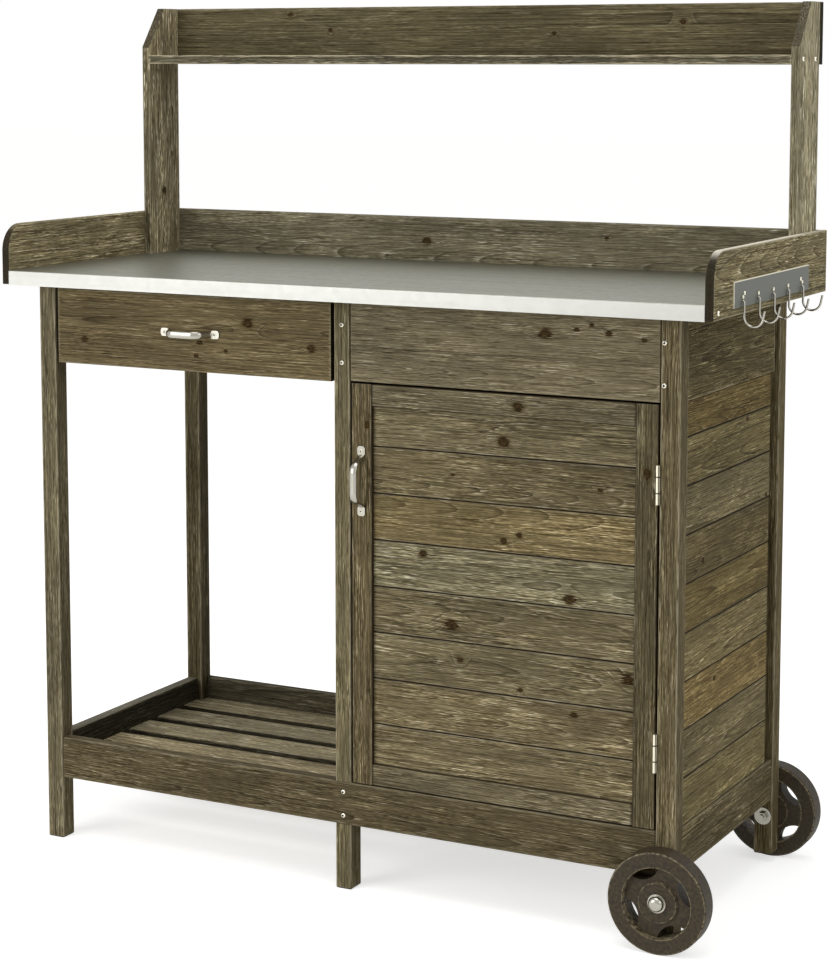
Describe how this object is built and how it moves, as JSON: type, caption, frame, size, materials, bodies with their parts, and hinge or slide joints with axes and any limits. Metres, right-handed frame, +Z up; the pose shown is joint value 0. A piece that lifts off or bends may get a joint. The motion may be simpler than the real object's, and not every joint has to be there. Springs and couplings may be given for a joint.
{
  "type": "potting bench",
  "caption": "Stained wood potting bench with a galvanised worktop, top shelf, drawer, plank cupboard, slatted shelf, tool hooks and wheels on one side.",
  "frame": {"origin": "on the floor, at the middle of the bounding box's bottom face", "axes": "+X to the bench's right as seen from the front, +Y to the back, +Z up"},
  "size_m": [1.1748, 0.5016, 1.279],
  "materials": {
    "stained_fir": "thin grey-brown stain, matt",
    "plywood": "thin stain, matt",
    "galvanised_sheet": "galvanised, satin",
    "zinc_plated_steel": "zinc plated",
    "nickel_plated_steel": "bright plated",
    "wheel_plastic": "matt dark brown",
    "catch_plastic": "matt brown"
  },
  "bodies": {
    "frame": {"back_battens": "stained_fir", "back_planks": "stained_fir", "backsplash": "stained_fir", "divider": "stained_fir", "front_apron": "stained_fir", "front_bottom_rail": "stained_fir", "front_left_leg": "stained_fir", "front_middle_post": "stained_fir", "front_right_leg": "stained_fir", "left_apron": "stained_fir", "left_bottom_rail": "stained_fir", "left_runner": "stained_fir", "left_side_board": "stained_fir", "left_upright": "stained_fir", "partition_battens": "stained_fir", "partition_planks": "stained_fir", "rear_aprons": "stained_fir", "rear_bottom_rail": "stained_fir", "rear_left_leg": "stained_fir", "rear_middle_post": "stained_fir", "rear_right_leg": "stained_fir", "right_apron": "stained_fir", "right_bottom_rail": "stained_fir", "right_runner": "stained_fir", "right_side_board": "stained_fir", "right_upright": "stained_fir", "shelf_back_board": "stained_fir", "shelf_cleats": "stained_fir", "shelf_slats": "stained_fir", "side_battens": "stained_fir", "side_planks": "stained_fir", "top_shelf": "stained_fir", "worktop_planks": "stained_fir", "worktop_sheet": "galvanised_sheet", "hinge_frame_leaves": "zinc_plated_steel", "hinge_pins": "zinc_plated_steel", "hook_plate": "zinc_plated_steel", "tool_hooks": "nickel_plated_steel", "front_axle_bolt": "nickel_plated_steel", "rear_axle_bolt": "nickel_plated_steel", "axle_washers": "nickel_plated_steel", "axle_nuts": "nickel_plated_steel", "catch_body": "catch_plastic"},
    "drawer": {"drawer_front": "stained_fir", "drawer_left_side": "stained_fir", "drawer_right_side": "stained_fir", "drawer_back": "stained_fir", "drawer_floor": "plywood", "drawer_handle": "nickel_plated_steel"},
    "door": {"door_left_stile": "stained_fir", "door_right_stile": "stained_fir", "door_top_rail": "stained_fir", "door_bottom_rail": "stained_fir", "door_planks": "stained_fir", "door_handle": "nickel_plated_steel", "hinge_door_leaves": "zinc_plated_steel", "catch_strike": "zinc_plated_steel"},
    "front_wheel": {"front_wheel": "wheel_plastic"},
    "rear_wheel": {"rear_wheel": "wheel_plastic"}
  },
  "joints": [
    {"name": "drawer_slide", "type": "slide", "parent": "frame", "child": "drawer", "axis": [0, -1, 0], "range_m": [0, 0.28]},
    {"name": "door_hinge", "type": "hinge", "parent": "frame", "child": "door", "pos_m": [0.47111, -0.2153, 0.452], "axis": [0, 0, 1], "range_deg": [0, 165]},
    {"name": "front_wheel_spin", "type": "hinge", "parent": "frame", "child": "front_wheel", "pos_m": [0.48661, -0.232, 0.071], "axis": [0, 1, 0], "continuous": true},
    {"name": "rear_wheel_spin", "type": "hinge", "parent": "frame", "child": "rear_wheel", "pos_m": [0.48661, 0.232, 0.071], "axis": [0, 1, 0], "continuous": true}
  ]
}
